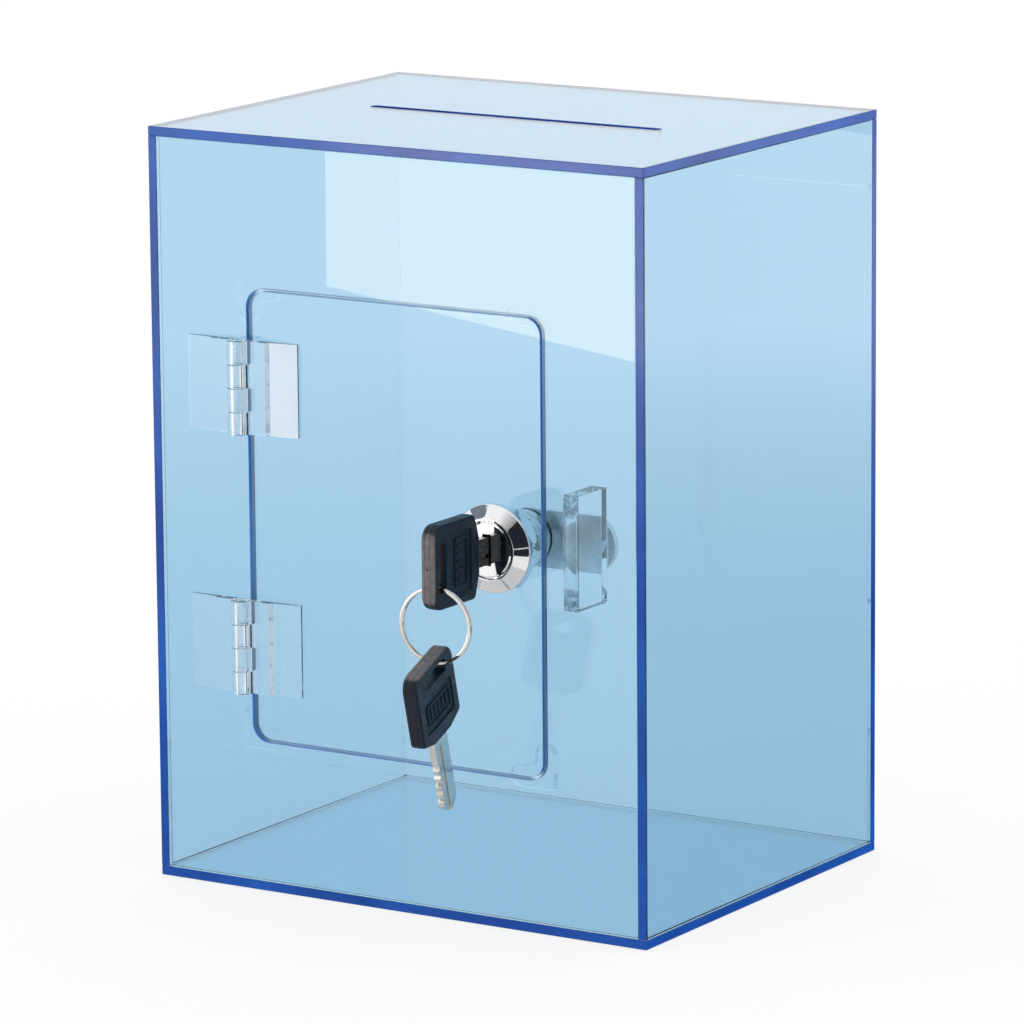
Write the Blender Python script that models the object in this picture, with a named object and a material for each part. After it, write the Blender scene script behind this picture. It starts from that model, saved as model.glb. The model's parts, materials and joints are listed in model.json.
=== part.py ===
"""Donation box of clear blue acrylic sheet, with a hinged front door, a cam lock and two keys.

The frame stands on the table: +X is to the right, +Y to the back and +Z up, and the origin is
the middle of the underside. The named sizes are in millimetres, and every mesh is in metres.
"""
import math

import bmesh
import bpy
from mathutils import Matrix, Vector

MM = 0.001
GAP = 0.3                       # between pieces that are glued or rest on each other

# The box
WIDTH = 150.0
DEPTH = 118.0
HEIGHT = 200.0
SHEET = 2.5                     # thickness of the acrylic
MONEY_SLOT = (89.0, 3.0)        # along X and Y
FRONT = -DEPTH / 2              # Y of the front face
FRONT_INSIDE = FRONT + SHEET

# The door, cut out of the front panel
OPENING_WIDTH = 90.0
OPENING_HEIGHT = 120.0
DOOR_MIDDLE = 100.0             # height of the door's middle
KERF = 0.6                      # gap around the door
HINGE_KERF = 0.9                # gap on the hinge side
CORNER_RADIUS = 5.0
STOP_REACH = (13.2, 11.8)       # lengths of a corner stop's two arms
STOP_ARM = 5.6
STOP_OVERHANG = {"left": 3.6, "right": 1.6}     # how far a stop lies beyond the opening
STOP_OVERHANG_Z = 2.4
STOP_THICKNESS = 2.0

# The hinges, on the outside of the left gap
HINGE_OFFSET = 34.3             # height of a hinge above or below the door's middle
HINGE_HEIGHT = 24.5
HINGE_REACH = 17.1              # from the pin to the outer edge of a leaf
FLANGE_REACH = 8.1              # width of a leaf's thin flange
FLANGE = 1.4                    # thickness of the flange
WEB = 2.4                       # thickness of the leaf next to the barrel
BARREL_RADIUS = 2.8
PIN_RADIUS = 1.2
KNUCKLES = 4
HINGE_X = -OPENING_WIDTH / 2 - 0.8
HINGE_Y = FRONT - GAP - BARREL_RADIUS

# The lock, in the door
LOCK_X = 30.0
LOCK_Z = DOOR_MIDDLE - 0.6
HEAD_RADIUS = 11.6
HEAD_HEIGHT = 3.2
BARREL_OUTER = 7.9
BARREL_FLAT = 7.4               # distance of the barrel's two flats from its axis
HOUSING_END = FRONT + 13.4
STOP_LUG = (125, 145)           # angles of the lug behind the barrel, which stops the turn
STOP_NOTCH = (120, 240)         # angles of the notch in the stop washer, with the cam locked
PLUG_RADIUS = 6.0
PLUG_BORE = 6.25
FACE_RADIUS = 7.2               # the plug's flange, which fills the head
NUT_RADIUS = 11.8               # across corners
NUT_THICKNESS = 3.2
WAFERS = 5
WAFER_PITCH = 2.3
WAFER_SIZE = (6.2, 0.6)         # along X and Y
WAFER_RADIUS = 5.9              # the wafers' ends follow the plug
FIRST_WAFER = FRONT - 0.9       # Y of the wafer nearest the face
SPRING_X = 3.95
SPRING_RADIUS = 0.45
SPRING_WIRE = 0.1
SPRING_BOTTOM = -2.6
SPRING_TOP = 0.3
EAR = (0.5, 1.5)                # heights of the wafer's ear, above the lock's axis
KEYWAY = (1.3, 4.1)             # half width and half height
KEYWAY_END = FRONT + 12.6
TANG = 6.4                      # the square at the plug's rear end
SCREW_HOLE = 1.8                # radius, in the plug's rear end
CAM_FRONT = FRONT + 17.2
CAM_THICKNESS = 1.8
STOP_WASHER = 3.0               # thickness, from the barrel to the cam
CAM_RADIUS = 7.5
CAM_LENGTH = 18.8               # from the lock's axis to the centre of the cam's round end
SCREW_RADIUS = 1.5
SCREW_LENGTH = 4.6              # under the head
SCREW_HEAD = (3.4, 2.1)         # radius and height
WASHER = (4.6, 0.5)             # radius and thickness

# The strike, which the cam turns in behind
STRIKE_LEFT = 49.8
STRIKE = (4.5, 14.0, 30.0)
STRIKE_RISE = 0.45              # of its middle, above the lock's axis

# The keys: measured from the head's outer end along the blade, and from its middle line
KEY_HEAD = (21.5, 22.0, 4.0)    # length, height, thickness
KEY_CORNER = 4.0
KEY_SHOULDER = 18.7             # where the head starts to narrow towards its nose
KEY_SLOT = (2.3, 5.7, 6.6)      # start, end and half height of the slot
KEY_PANEL = (8.4, 17.4, 8.0)    # start, end and half height of the sunk panel on each side
KEY_PANEL_DEPTH = 0.3
BLADE_START = 11.0              # inside the head
BLADE_LENGTH = 21.4             # from the head's nose to the tip
BLADE_HEIGHT = 7.2
BLADE_THICKNESS = 1.8
BLADE_CUTS = (0.9, 0.4, 1.1, 0.6, 0.8)          # depths, from the tip
FIRST_CUT = 4.6                 # from the tip
GROOVE_DEPTH = 0.5              # of the groove along each side of the blade
KEY_END_Y = FRONT - 30.7        # Y of the outer end of the key in the lock

# The split ring, which hangs in the slot of the key in the lock
RING_INNER = 9.0
RING_WIRE = (1.1, 0.5)          # radial and along the ring's axis
RING_PITCH = 0.58
RING_TURNS = 1.94
RING_PIVOT = (-0.8, -8.0)       # X and height of the pivot, from the lock's axis
RING_DROP = 7.1                 # from the pivot down to the ring's centre
RING_ASIDE = 0.6                # from the pivot to the ring's centre, in the ring's plane
RING_SHIFT = -0.15              # along Y, from the middle of the slot
RING_TURN = math.radians(7)     # of the ring's plane, about the vertical
SPARE_PIVOT = (3.6, 5.35)       # where the spare key hangs, in the key's own measures
SPARE_LEAN = math.radians(17)   # of its blade from the vertical, at which it hangs at rest

CUTTERS = []


# --- objects and materials ---------------------------------------------------------------------

def clear_scene():
    for item in list(bpy.data.objects):
        bpy.data.objects.remove(item, do_unlink=True)


def principled(name, colour, roughness, metallic=0.0, transmission=0.0):
    material = bpy.data.materials.new(name)
    material.use_nodes = True
    shader = material.node_tree.nodes["Principled BSDF"]
    shader.inputs["Base Color"].default_value = (*colour, 1.0)
    shader.inputs["Roughness"].default_value = roughness
    shader.inputs["Metallic"].default_value = metallic
    shader.inputs["Transmission Weight"].default_value = transmission
    material.diffuse_color = (*colour, 1.0)
    return material


def pivot(name, place, parent=None, turn=(0.0, 0.0, 0.0)):
    """An empty on a joint's axis. The place is in millimetres, in the parent's frame."""
    empty = bpy.data.objects.new(name, None)
    bpy.context.collection.objects.link(empty)
    empty.empty_display_size = 10 * MM
    empty.location = Vector(place) * MM
    empty.rotation_euler = turn
    empty.parent = parent
    return empty


def solid(name, mesh, colour, place=(0.0, 0.0, 0.0), parent=None, angle=None):
    """An object from a bmesh (or a shared mesh). An angle in degrees shades it smooth."""
    if isinstance(mesh, bmesh.types.BMesh):
        data = bpy.data.meshes.new(name)
        bmesh.ops.recalc_face_normals(mesh, faces=mesh.faces)
        mesh.to_mesh(data)
        mesh.free()
    else:
        data = mesh
    item = bpy.data.objects.new(name, data)
    bpy.context.collection.objects.link(item)
    if colour is not None and not data.materials:
        data.materials.append(colour)
    if angle is not None:
        data.shade_smooth()
        data.set_sharp_from_angle(angle=math.radians(angle))
    item.location = Vector(place) * MM
    item.parent = parent
    return item


def cut(target, mesh, operation="DIFFERENCE"):
    """Cut a shape out of a piece. The shape is given in the piece's own frame."""
    cutter = solid(f"cutter_{len(CUTTERS):02d}", mesh, None, parent=target)
    cutter.hide_render = True
    cutter.display_type = "WIRE"
    CUTTERS.append(cutter)
    modifier = target.modifiers.new(cutter.name, "BOOLEAN")
    modifier.operation = operation
    modifier.solver = "EXACT"
    modifier.object = cutter


def bevel(item, width, segments=1, angle=40):
    modifier = item.modifiers.new("edges", "BEVEL")
    modifier.width = width * MM
    modifier.segments = segments
    modifier.limit_method = "ANGLE"
    modifier.angle_limit = math.radians(angle)


# --- shapes ------------------------------------------------------------------------------------

def arc(centre, radius, start, end, steps):
    """Points on an arc, its angles in degrees."""
    angles = [math.radians(start + (end - start) * i / steps) for i in range(steps + 1)]
    return [(centre[0] + radius * math.cos(a), centre[1] + radius * math.sin(a)) for a in angles]


def circle(radius, steps):
    return arc((0, 0), radius, 0, 360 * (steps - 1) / steps, steps - 1)


def rounded_rectangle(left, right, bottom, top, radius, steps=4):
    corners = ((right - radius, bottom + radius, -90), (right - radius, top - radius, 0),
               (left + radius, top - radius, 90), (left + radius, bottom + radius, 180))
    points = []
    for u, v, angle in corners:
        points += arc((u, v), radius, angle, angle + 90, steps)
    return points


def prism(outline, start, end, axis="Z", mesh=None):
    """A closed outline, extruded along an axis. Its two measures are the other two axes."""
    place = {"X": lambda u, v, w: (w, u, v),
             "Y": lambda u, v, w: (u, w, v),
             "Z": lambda u, v, w: (u, v, w)}[axis]
    mesh = mesh or bmesh.new()
    bottom = [mesh.verts.new(Vector(place(u, v, start)) * MM) for u, v in outline]
    top = [mesh.verts.new(Vector(place(u, v, end)) * MM) for u, v in outline]
    mesh.faces.new(bottom)
    mesh.faces.new(reversed(top))
    for i in range(len(outline)):
        j = (i + 1) % len(outline)
        mesh.faces.new((bottom[i], top[i], top[j], bottom[j]))
    return mesh


def block(x, y, z, mesh=None):
    """A box, from its limits along the three axes."""
    outline = ((x[0], y[0]), (x[1], y[0]), (x[1], y[1]), (x[0], y[1]))
    return prism(outline, z[0], z[1], "Z", mesh)


def turned(profile, steps, closed):
    """A profile of (Y, radius) points, turned about the Y axis. A closed one is a hollow ring."""
    mesh = bmesh.new()
    points = [mesh.verts.new((radius * MM, y * MM, 0.0)) for y, radius in profile]
    edges = [mesh.edges.new(pair) for pair in zip(points, points[1:])]
    if closed:
        edges.append(mesh.edges.new((points[-1], points[0])))
    bmesh.ops.spin(mesh, geom=points + edges, cent=(0, 0, 0), axis=(0, 1, 0),
                   angle=math.tau, steps=steps, use_merge=True)
    bmesh.ops.remove_doubles(mesh, verts=mesh.verts, dist=1e-6)
    return mesh


def swept(path, section):
    """A tube with flat ends. Each point of the path gives its place and two section axes."""
    mesh = bmesh.new()
    rings = []
    for place, across, along in path:
        rings.append([mesh.verts.new((place + across * u + along * v) * MM) for u, v in section])
    count = len(section)
    for first, second in zip(rings, rings[1:]):
        for i in range(count):
            j = (i + 1) % count
            mesh.faces.new((first[i], first[j], second[j], second[i]))
    mesh.faces.new(rings[0])
    mesh.faces.new(reversed(rings[-1]))
    return mesh


def coil(radius, pitch, turns, steps, section, axis):
    """A helix about the Y or Z axis, starting at the origin of that axis."""
    path = []
    for i in range(round(turns * steps) + 1):
        angle = math.tau * i / steps
        rise = pitch * i / steps
        u, v = math.cos(angle), math.sin(angle)
        if axis == "Z":
            path.append((Vector((radius * u, radius * v, rise)), Vector((u, v, 0)), Vector((0, 0, 1))))
        else:
            path.append((Vector((radius * u, rise, radius * v)), Vector((u, 0, v)), Vector((0, 1, 0))))
    return swept(path, section)


# --- the box -----------------------------------------------------------------------------------

def build_panels(acrylic):
    half_width = WIDTH / 2
    half_depth = DEPTH / 2
    inner_z = (SHEET + GAP, HEIGHT - SHEET - GAP)
    full_x = (-half_width, half_width)
    full_y = (-half_depth, half_depth)
    side_y = (-half_depth, half_depth - SHEET - GAP)
    solid("bottom_panel", block(full_x, full_y, (0, SHEET)), acrylic)
    top = solid("top_panel", block(full_x, full_y, (HEIGHT - SHEET, HEIGHT)), acrylic)
    length, width = MONEY_SLOT
    outline = rounded_rectangle(-length / 2, length / 2, -width / 2, width / 2, width / 2 - 0.1, 5)
    cut(top, prism(outline, HEIGHT - 2 * SHEET, HEIGHT + SHEET))
    solid("left_panel", block((-half_width, SHEET - half_width), side_y, inner_z), acrylic)
    solid("right_panel", block((half_width - SHEET, half_width), side_y, inner_z), acrylic)
    solid("back_panel", block(full_x, (half_depth - SHEET, half_depth), inner_z), acrylic)
    reach = half_width - SHEET - GAP
    front = solid("front_panel", block((-reach, reach), (FRONT, FRONT_INSIDE), inner_z), acrylic)
    outline = rounded_rectangle(-OPENING_WIDTH / 2, OPENING_WIDTH / 2,
                                DOOR_MIDDLE - OPENING_HEIGHT / 2, DOOR_MIDDLE + OPENING_HEIGHT / 2,
                                CORNER_RADIUS)
    cut(front, prism(outline, FRONT - SHEET, FRONT_INSIDE + SHEET, "Y"))


def build_corner_stops(clear):
    """An L with round ends behind each corner of the door, glued inside the front panel."""
    reach_x, reach_z = STOP_REACH
    arm = STOP_ARM / 2
    inner = STOP_ARM + 2.5
    outline = [(0, 0), (reach_x - arm, 0)]
    outline += arc((reach_x - arm, arm), arm, -60, 90, 5)
    outline += arc((inner, inner), inner - STOP_ARM, 270, 180, 4)
    outline += arc((arm, reach_z - arm), arm, 0, 150, 5)
    outline += [(0, reach_z - arm)]
    start = FRONT_INSIDE + GAP
    edge_z = OPENING_HEIGHT / 2 + STOP_OVERHANG_Z
    for side, sign_x in (("left", 1), ("right", -1)):
        edge_x = OPENING_WIDTH / 2 + STOP_OVERHANG[side]
        for level, sign_z in (("bottom", 1), ("top", -1)):
            points = [(u * sign_x, v * sign_z) for u, v in outline]
            solid(f"corner_stop_{level}_{side}", prism(points, 0, STOP_THICKNESS, "Y"), clear,
                  (-edge_x * sign_x, start, DOOR_MIDDLE - edge_z * sign_z), angle=30)


def build_strike(clear):
    width, depth, height = STRIKE
    start = FRONT_INSIDE + GAP
    item = solid("strike_block", block((0, width), (0, depth), (-height / 2, height / 2)), clear,
                 (STRIKE_LEFT, start, LOCK_Z + STRIKE_RISE))
    bevel(item, 0.4)


def leaf_outline():
    """The left leaf of a hinge seen from above, about the pin: flange, web and barrel."""
    floor = BARREL_RADIUS
    step = -HINGE_REACH + FLANGE_REACH
    meet = math.degrees(math.acos((floor - WEB) / BARREL_RADIUS))
    outline = [(-HINGE_REACH, floor), (0, floor)]
    outline += arc((0, 0), BARREL_RADIUS, 75, meet - 270, 16)
    outline += [(step + 0.8, floor - WEB), (step, floor - FLANGE), (-HINGE_REACH, floor - FLANGE)]
    return outline


def build_hinges(clear, door):
    """Two leaves and a pin. From the top, the knuckles belong to the door and the frame in turn."""
    half = HINGE_HEIGHT / 2
    pitch = (HINGE_HEIGHT + GAP) / KNUCKLES
    reach = 2 * BARREL_RADIUS
    for level, sign in (("upper", 1), ("lower", -1)):
        height = DOOR_MIDDLE + sign * HINGE_OFFSET
        for name, side, parent in (("frame_leaf", 1, None), ("door_leaf", -1, door)):
            place = (0, 0, height) if parent else (HINGE_X, HINGE_Y, height)
            outline = [(u * side, v) for u, v in leaf_outline()]
            leaf = solid(f"{level}_hinge_{name}", prism(outline, -half, half), clear, place, parent,
                         angle=30)
            other = 0 if parent is None else 1
            for i in range(other, KNUCKLES, 2):
                top = half - i * pitch
                x = sorted((-side * (BARREL_RADIUS + 0.4), side * reach))
                cut(leaf, block(x, (-reach, reach), (top - pitch, top + GAP)))
            cut(leaf, prism(circle(PIN_RADIUS + 0.2, 24), -half - 1, half + 1))
        pin = solid(f"{level}_hinge_pin", prism(circle(PIN_RADIUS, 20), -half + 0.2, half - 0.2), clear,
                    (HINGE_X, HINGE_Y, height), angle=40)
        bevel(pin, 0.2)


def build_door(acrylic, door):
    left = -OPENING_WIDTH / 2 + HINGE_KERF - HINGE_X
    right = OPENING_WIDTH / 2 - KERF - HINGE_X
    low = DOOR_MIDDLE - OPENING_HEIGHT / 2 + KERF
    high = DOOR_MIDDLE + OPENING_HEIGHT / 2 - KERF
    outline = rounded_rectangle(left, right, low, high, CORNER_RADIUS - KERF)
    front = FRONT - HINGE_Y
    panel = solid("door_panel", prism(outline, front, front + SHEET, "Y"), acrylic, parent=door)
    hole = flatted_circle(BARREL_OUTER + GAP, BARREL_FLAT + GAP)
    hole = [(u + LOCK_X - HINGE_X, v + LOCK_Z) for u, v in hole]
    cut(panel, prism(hole, front - SHEET, front + 2 * SHEET, "Y"))


# --- the lock ----------------------------------------------------------------------------------

def flatted_circle(radius, flat):
    """A circle with its left and right sides cut off flat."""
    turn = math.degrees(math.acos(flat / radius))
    return arc((0, 0), radius, turn, 180 - turn, 16) + arc((0, 0), radius, 180 + turn, 360 - turn, 16)


def wafer_places():
    return [FIRST_WAFER + i * WAFER_PITCH for i in range(WAFERS)]


def build_housing(chrome, lock_place, parent):
    seat = FRONT - GAP
    face = FRONT - HEAD_HEIGHT
    barrel_start = FRONT - 0.6
    profile = [(seat, HEAD_RADIUS), (seat - 0.7, HEAD_RADIUS), (face + 0.25, FACE_RADIUS + 1.1),
               (face, FACE_RADIUS + 0.85), (face, FACE_RADIUS + 0.3), (face + 1.3, FACE_RADIUS + 0.3),
               (face + 1.3, PLUG_BORE), (barrel_start, PLUG_BORE), (barrel_start, BARREL_OUTER - 0.8),
               (seat, BARREL_OUTER - 0.8)]
    housing = solid("lock_housing", turned(profile, 48, True), chrome, lock_place, parent, angle=25)
    outline = flatted_circle(BARREL_OUTER, BARREL_FLAT)
    cut(housing, prism(outline, barrel_start - 0.2, HOUSING_END, "Y"), "UNION")
    cut(housing, prism(circle(PLUG_BORE, 48), face + 1.0, HOUSING_END + 1, "Y"))
    reach = PLUG_BORE + 0.65
    groove = WAFER_SIZE[0] / 2 + GAP
    places = wafer_places()
    grooves = (places[0] - 1.2, places[-1] + 1.2)
    cut(housing, block((-groove, groove), grooves, (-reach, reach)))
    cut(housing, block((-reach, reach), grooves, (-groove, groove)))
    lug = sector(PLUG_BORE + 0.2, BARREL_FLAT, *STOP_LUG)
    cut(housing, prism(lug, HOUSING_END - 0.5, HOUSING_END + 1.0, "Y"), "UNION")


def sector(inner, outer, start, end, steps=4):
    """A piece of a flat ring, between two angles in degrees."""
    return arc((0, 0), inner, start, end, steps) + arc((0, 0), outer, end, start, steps)


def build_nut(chrome, lock_place, parent):
    start = FRONT_INSIDE + GAP
    end = start + NUT_THICKNESS
    nut = solid("lock_nut", prism(circle(NUT_RADIUS, 6), start, end, "Y"), chrome, lock_place, parent,
                angle=30)
    bevel(nut, 0.4)
    cut(nut, prism(circle(BARREL_OUTER + GAP, 48), start - 1, end + 1, "Y"))


def build_plug(steel, core):
    face = FRONT - HEAD_HEIGHT
    end = HOUSING_END + 0.2
    profile = [(face + 0.1, 0.0), (face + 0.1, FACE_RADIUS - 0.4), (face + 0.3, FACE_RADIUS),
               (face + 1.0, FACE_RADIUS), (face + 1.0, PLUG_RADIUS), (end, PLUG_RADIUS), (end, 0.0)]
    plug = solid("lock_plug", turned(profile, 48, False), steel, parent=core, angle=30)
    half = TANG / 2
    cut(plug, block((-half, half), (end - 1, CAM_FRONT + CAM_THICKNESS - 0.1), (-half, half)), "UNION")
    cut(plug, block((-KEYWAY[0], KEYWAY[0]), (face - 1, KEYWAY_END), (-KEYWAY[1], KEYWAY[1])))
    width = WAFER_SIZE[0] / 2 + GAP
    depth = WAFER_SIZE[1] / 2 + GAP
    slots = bmesh.new()
    pockets = bmesh.new()
    for y in wafer_places():
        block((-width, width), (y - depth, y + depth), (-PLUG_RADIUS - 1, PLUG_RADIUS + 1), slots)
        block((width - 0.5, SPRING_X + 0.85), (y - 0.75, y + 0.75), (SPRING_BOTTOM - 0.3, 2.9), pockets)
    cut(plug, slots)
    cut(plug, pockets)
    cut(plug, prism(circle(SCREW_HOLE, 16), KEYWAY_END + 0.5, CAM_FRONT + 6, "Y"))


def build_wafers(brass, steel, core):
    """A row of thin plates with a window for the key, each pushed up by a spring at its ear."""
    half = WAFER_SIZE[0] / 2
    depth = WAFER_SIZE[1] / 2
    lean = math.degrees(math.acos(half / WAFER_RADIUS))
    low, high = EAR
    outline = [(half, low), (SPRING_X + 0.6, low), (SPRING_X + 0.6, high), (half, high)]
    outline += arc((0, 0), WAFER_RADIUS, lean, 180 - lean, 8)
    outline += arc((0, 0), WAFER_RADIUS, 180 + lean, 360 - lean, 8)
    wire = circle(SPRING_WIRE, 5)
    for number, y in enumerate(wafer_places(), 1):
        wafer = solid(f"wafer_{number}", prism(outline, -depth, depth, "Y"), brass, (0, y, 0), core)
        cut(wafer, block((-KEYWAY[0] - 0.2, KEYWAY[0] + 0.2), (-1, 1), (-4.4, 4.4)))
        turns = 4
        pitch = (SPRING_TOP - SPRING_BOTTOM - 2 * SPRING_WIRE) / turns
        solid(f"wafer_spring_{number}", coil(SPRING_RADIUS, pitch, turns, 8, wire, "Z"), steel,
              (SPRING_X, y, SPRING_BOTTOM + SPRING_WIRE), core, angle=60)


def build_cam(steel, core):
    """The stop washer, the cam, and the screw and washer that hold them on the plug's square."""
    half = TANG / 2 + GAP
    square = ((-half, -half), (half, -half), (half, half), (-half, half))
    start = HOUSING_END + 0.3
    notch_start, notch_end = STOP_NOTCH
    outline = arc((0, 0), PLUG_BORE - 0.2, notch_start, notch_end, 12)
    outline += arc((0, 0), PLUG_BORE + 1.05, notch_end, notch_start + 360, 28)
    washer = solid("stop_washer", prism(outline, start, start + STOP_WASHER, "Y"), steel, parent=core,
                   angle=30)
    cut(washer, prism(square, start - 1, start + STOP_WASHER + 1, "Y"))
    outline = arc((0, 0), CAM_RADIUS, 90, 270, 16)
    outline += arc((CAM_LENGTH, 0), CAM_RADIUS, -90, 90, 16)
    end = CAM_FRONT + CAM_THICKNESS
    cam = solid("lock_cam", prism(outline, CAM_FRONT, end, "Y"), steel, parent=core, angle=30)
    cut(cam, prism(square, CAM_FRONT - 1, end + 1, "Y"))
    start = end + GAP
    radius, thickness = WASHER
    end = start + thickness
    profile = [(start, SCREW_HOLE), (start, radius), (end, radius), (end, SCREW_HOLE)]
    solid("screw_washer", turned(profile, 24, True), steel, parent=core, angle=30)
    build_screw(steel, core, end + GAP)


def build_screw(steel, core, under):
    """A cross-head screw, from the Y of the underside of its head."""
    radius, height = SCREW_HEAD
    tip = under - SCREW_LENGTH
    top = under + height
    profile = [(tip, 0.0), (tip, SCREW_RADIUS - 0.4), (tip + 0.4, SCREW_RADIUS), (under, SCREW_RADIUS),
               (under, radius), (top - 0.9, radius), (top - 0.1, radius - 1.2), (top, 0.0)]
    screw = solid("cam_screw", turned(profile, 24, False), steel, parent=core, angle=30)
    for x, z in ((2.0, 0.4), (0.4, 2.0)):
        cut(screw, block((-x, x), (top - 1.1, top + 1), (-z, z)))


# --- the keys and their ring -------------------------------------------------------------------

def key_head_outline():
    """Seen from the side: a rounded outer end, and a blunt point towards the blade."""
    length, height, _ = KEY_HEAD
    half = height / 2
    outline = arc((KEY_CORNER, -half + KEY_CORNER), KEY_CORNER, 180, 270, 4)
    outline += [(KEY_SHOULDER, -half), (length, -4.4), (length, 4.4), (KEY_SHOULDER, half)]
    outline += arc((KEY_CORNER, half - KEY_CORNER), KEY_CORNER, 90, 180, 4)
    return outline


def build_key_head(name, plastic, place, parent):
    """A plastic grip with a slot for the ring and a sunk panel on each side."""
    length, _, thickness = KEY_HEAD
    half = thickness / 2
    head = solid(name, prism(key_head_outline(), -half, half, "X"), plastic, place, parent, angle=35)
    bevel(head, 0.8, 2, 50)
    start, end, reach = KEY_SLOT
    cut(head, prism(rounded_rectangle(start, end, -reach, reach, 0.8, 2), -half - 1, half + 1, "X"))
    bevel(head, 0.5, 1, 50)
    start, end, reach = KEY_PANEL
    panel = rounded_rectangle(start, end, -reach, reach, 0.8, 2)
    for side in (-1, 1):
        cut(head, prism(panel, *sorted((side * (half - KEY_PANEL_DEPTH), side * (half + 1))), "X"))
    room = BLADE_THICKNESS / 2 + 0.2
    reach = BLADE_HEIGHT / 2 - 0.6 + GAP
    cut(head, block((-room, room), (BLADE_START - GAP, length + 1), (-reach, reach)))


def build_key_blade(name, nickel, place, parent, turn):
    """A flat blade with cuts along its upper edge and a groove along each side."""
    half = BLADE_THICKNESS / 2
    top = BLADE_HEIGHT / 2
    inside = top - 0.6
    shoulder = KEY_HEAD[0] + 0.4
    tip = KEY_HEAD[0] + BLADE_LENGTH
    outline = [(BLADE_START, -inside), (shoulder, -inside), (shoulder, -top), (tip - 2.6, -top),
               (tip, -0.8), (tip, 0.8), (tip - 2.6, top)]
    for number, depth in enumerate(BLADE_CUTS):
        middle = tip - FIRST_CUT - number * WAFER_PITCH
        outline += [(middle + 0.9, top), (middle + 0.25, top - depth), (middle - 0.25, top - depth),
                    (middle - 0.9, top)]
    outline += [(shoulder, top), (shoulder, inside), (BLADE_START, inside)]
    blade = solid(name, prism(outline, -half, half, "X"), nickel, place, parent)
    blade.rotation_euler = (0, turn, 0)
    for side, low, high in ((-1, 0.3, 1.5), (1, -1.9, -0.7)):
        x = sorted((side * (half - GROOVE_DEPTH), side * (half + 1)))
        cut(blade, block(x, (KEY_HEAD[0] + 2.5, tip + 1), (low, high)))


def build_key(prefix, plastic, nickel, place, parent, turn=0.0):
    """A head moulded over its blade, which lies along +Y, turned about its length."""
    build_key_head(f"{prefix}_head", plastic, place, parent)
    build_key_blade(f"{prefix}_blade", nickel, place, parent, turn)


def build_ring(nickel, pivot_frame):
    """A split ring: a flat wire wound twice, its two turns lying against each other."""
    radial, thick = RING_WIRE
    section = rounded_rectangle(-radial / 2, radial / 2, -thick / 2, thick / 2, 0.2, 1)
    mesh = coil(RING_INNER + radial / 2, RING_PITCH, RING_TURNS, 44, section, "Y")
    bmesh.ops.transform(mesh, matrix=Matrix.Rotation(math.radians(60), 4, "Y"), verts=mesh.verts)
    solid("key_ring", mesh, nickel, (RING_ASIDE, -RING_PITCH * RING_TURNS / 2, -RING_DROP), pivot_frame,
          angle=50)


def build():
    clear_scene()
    acrylic = principled("blue_acrylic", (0.30, 0.62, 0.90), 0.05, transmission=0.9)
    clear = principled("clear_acrylic", (0.85, 0.93, 0.97), 0.08, transmission=0.9)
    chrome = principled("chrome", (0.80, 0.80, 0.82), 0.08, metallic=1.0)
    steel = principled("steel", (0.62, 0.63, 0.64), 0.30, metallic=1.0)
    brass = principled("brass", (0.78, 0.62, 0.32), 0.30, metallic=1.0)
    nickel = principled("nickel", (0.74, 0.72, 0.68), 0.22, metallic=1.0)
    plastic = principled("black_plastic", (0.02, 0.02, 0.025), 0.40)

    door = pivot("door_axis", (HINGE_X, HINGE_Y, 0))
    lock_place = (LOCK_X - HINGE_X, -HINGE_Y, LOCK_Z)
    core = pivot("lock_axis", lock_place, door)
    key = pivot("key_slide", (0, KEY_END_Y, 0), core)
    slot_middle = (KEY_SLOT[0] + KEY_SLOT[1]) / 2
    ring = pivot("ring_pivot", (RING_PIVOT[0], slot_middle + RING_SHIFT, RING_PIVOT[1]), key,
                 (0, 0, RING_TURN))
    ring_radius = RING_INNER + RING_WIRE[0] / 2
    spare = pivot("spare_pivot", (RING_ASIDE, 0, -RING_DROP - ring_radius), ring,
                  (SPARE_LEAN - math.pi / 2, 0, 0))

    build_panels(acrylic)
    build_corner_stops(clear)
    build_strike(clear)
    build_hinges(clear, door)
    build_door(acrylic, door)
    build_housing(chrome, lock_place, door)
    build_nut(chrome, lock_place, door)
    build_plug(chrome, core)
    build_wafers(brass, steel, core)
    build_cam(steel, core)
    build_key("key", plastic, nickel, (0, 0, 0), key)
    build_ring(nickel, ring)
    build_key("spare_key", plastic, nickel, (0, -SPARE_PIVOT[0], -SPARE_PIVOT[1]), spare, math.pi)


build()
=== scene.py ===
import json
import math

import bmesh
import bpy
from mathutils import Matrix, Vector
from mathutils.geometry import tessellate_polygon


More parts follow.
